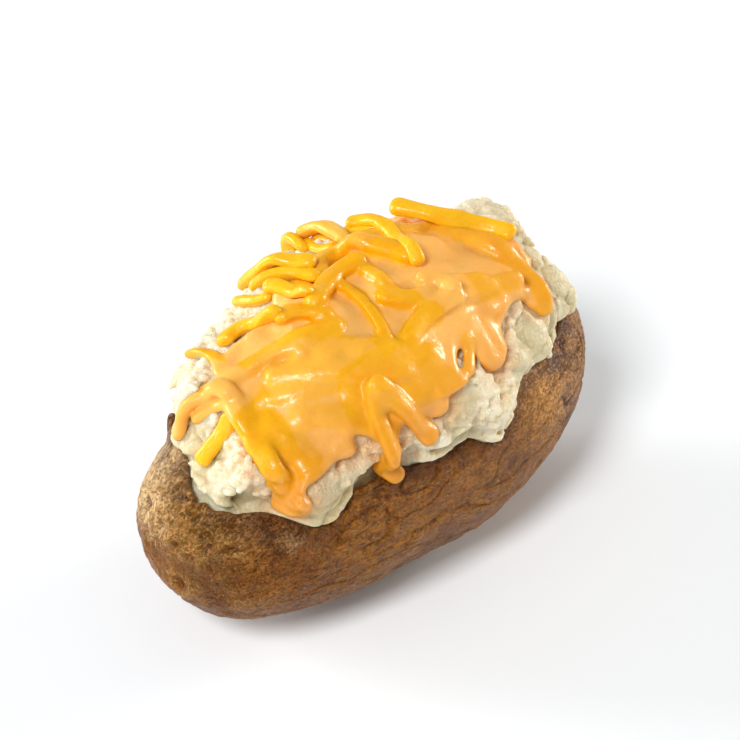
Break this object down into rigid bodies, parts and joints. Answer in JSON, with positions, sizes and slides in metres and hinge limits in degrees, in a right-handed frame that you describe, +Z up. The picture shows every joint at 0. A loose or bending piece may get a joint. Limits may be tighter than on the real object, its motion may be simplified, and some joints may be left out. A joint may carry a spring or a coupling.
{
  "type": "baked potato",
  "caption": "Baked russet potato opened along the top, heaped with fluffed flesh, melted cheese sauce and soft cheddar shreds.",
  "frame": {"origin": "centre of the flat spot that it rests on, under the middle of the potato's length", "axes": "+Z up, +X along the potato towards its slimmer end, -Y towards the front, where the sauce runs down"},
  "size_m": [0.1296, 0.0678, 0.0789],
  "materials": {
    "potato_skin": "dry baked russet skin, brown with darker speckles and fine wrinkles",
    "potato_flesh": "moist crumbly cooked potato, ivory to pale yellow",
    "cheese_sauce": "glossy smooth melted cheese sauce, peach orange",
    "cheddar_shred": "soft half-melted yellow cheddar, oily shine"
  },
  "bodies": {
    "root": {"potato_jacket": "potato_skin", "potato_flesh": "potato_flesh", "cheese_sauce": "cheese_sauce", "shred_01": "cheddar_shred", "shred_02": "cheddar_shred", "shred_03": "cheddar_shred", "shred_04": "cheddar_shred", "shred_05": "cheddar_shred", "shred_06": "cheddar_shred", "shred_07": "cheddar_shred", "shred_08": "cheddar_shred", "shred_09": "cheddar_shred", "shred_10": "cheddar_shred", "shred_11": "cheddar_shred", "shred_12": "cheddar_shred", "shred_13": "cheddar_shred", "shred_14": "cheddar_shred", "shred_15": "cheddar_shred", "shred_16": "cheddar_shred", "shred_17": "cheddar_shred", "shred_18": "cheddar_shred", "shred_19": "cheddar_shred", "shred_20": "cheddar_shred", "shred_21": "cheddar_shred", "shred_22": "cheddar_shred", "shred_23": "cheddar_shred", "shred_24": "cheddar_shred", "shred_25": "cheddar_shred", "shred_26": "cheddar_shred", "shred_27": "cheddar_shred", "shred_28": "cheddar_shred", "shred_29": "cheddar_shred", "shred_30": "cheddar_shred"}
  },
  "joints": []
}
